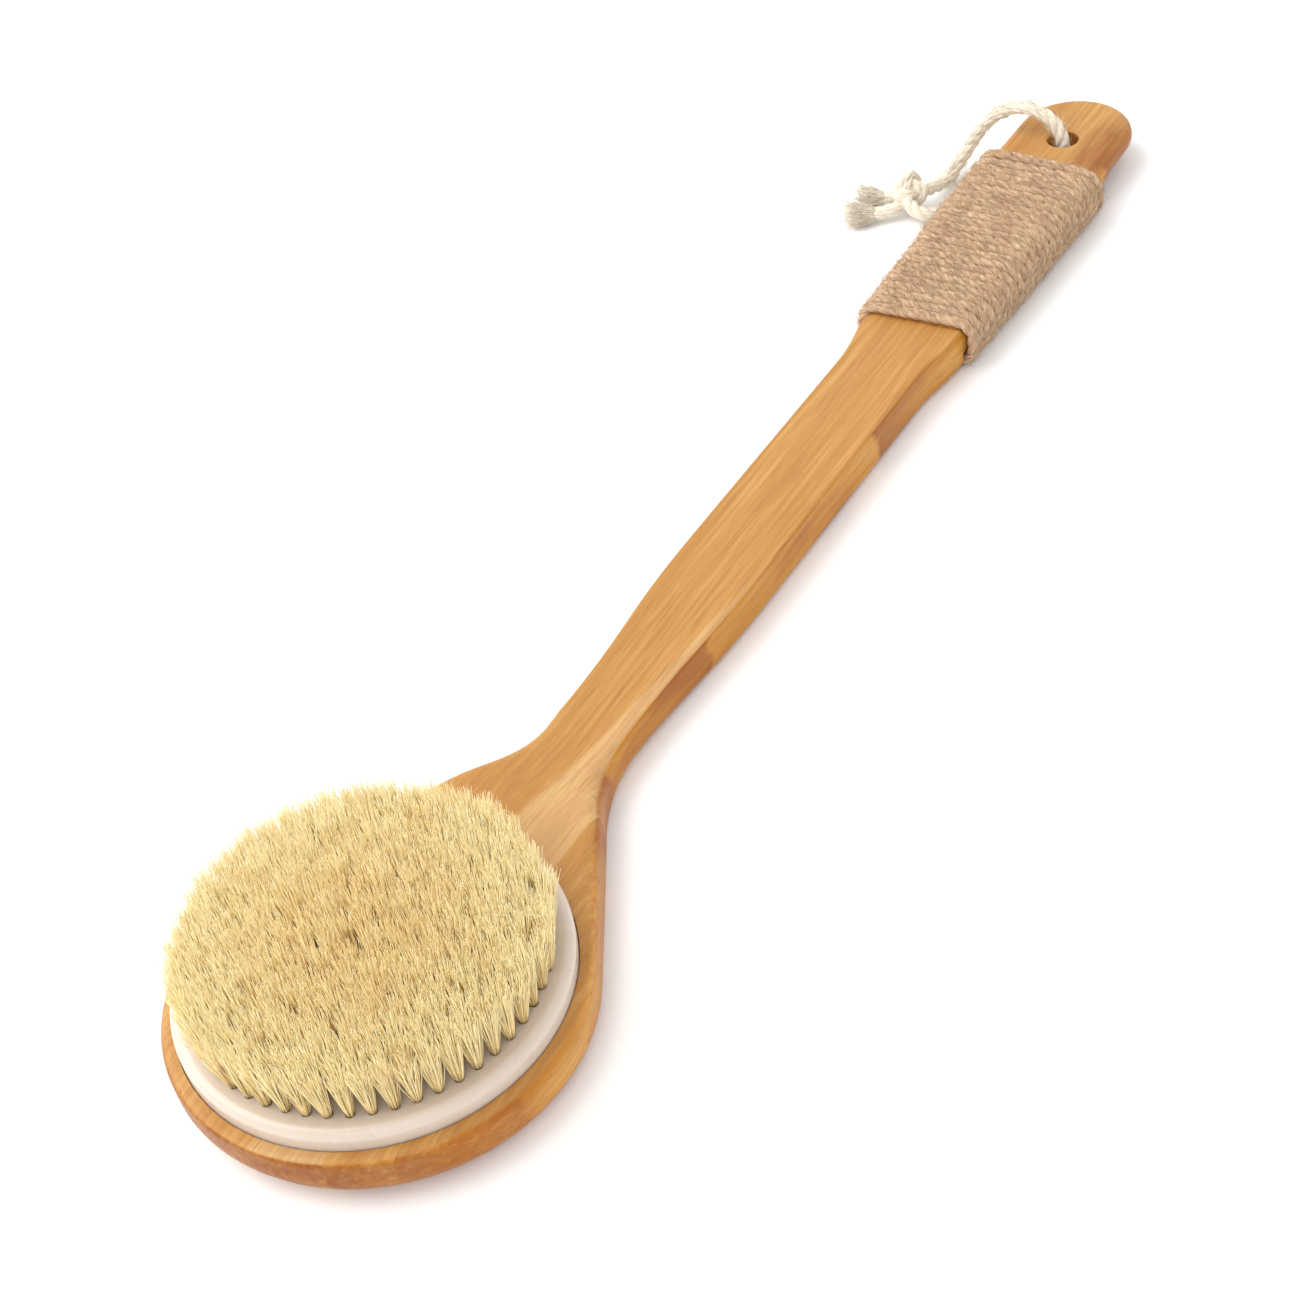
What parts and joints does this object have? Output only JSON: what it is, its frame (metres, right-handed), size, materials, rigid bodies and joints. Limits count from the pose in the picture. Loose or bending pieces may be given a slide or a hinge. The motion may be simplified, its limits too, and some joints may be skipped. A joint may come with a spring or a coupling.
{
  "type": "body dry brush",
  "caption": "Long-handled round dry brush with a bamboo body, plant-coloured bristle tufts in a moulded plate, a twine-wound grip and a knotted hanging cord.",
  "frame": {"origin": "middle of the round head's flat back", "axes": "+X along the handle to its tip, +Z out of the bristle side, +Y to the side where the cord's knot lies"},
  "size_m": [0.4278, 0.0997, 0.0344],
  "materials": {
    "bamboo": "satin lacquered bamboo",
    "plate_plastic": "translucent polypropylene",
    "adhesive": "set glue",
    "bristle": "natural bristle",
    "anchor_wire": "flat wire",
    "jute_twine": "twisted jute",
    "cotton_cord": "twisted cotton"
  },
  "bodies": {
    "root": {"stave_right_outer": "bamboo", "stave_right_middle": "bamboo", "stave_right_centre": "bamboo", "stave_left_centre": "bamboo", "stave_left_middle": "bamboo", "stave_left_outer": "bamboo", "bristle_plate": "plate_plastic", "plate_adhesive": "adhesive", "tuft_ring_1": "bristle", "tuft_ring_2": "bristle", "tuft_ring_3": "bristle", "tuft_ring_4": "bristle", "tuft_ring_5": "bristle", "tuft_ring_6": "bristle", "tuft_ring_7": "bristle", "tuft_ring_8": "bristle", "tuft_ring_9": "bristle", "tuft_anchors": "anchor_wire", "grip_twine": "jute_twine", "hang_cord": "cotton_cord", "cord_knot": "cotton_cord", "cord_tail_lower": "cotton_cord", "cord_tail_upper": "cotton_cord", "frayed_end_lower": "cotton_cord", "frayed_end_upper": "cotton_cord"}
  },
  "joints": []
}
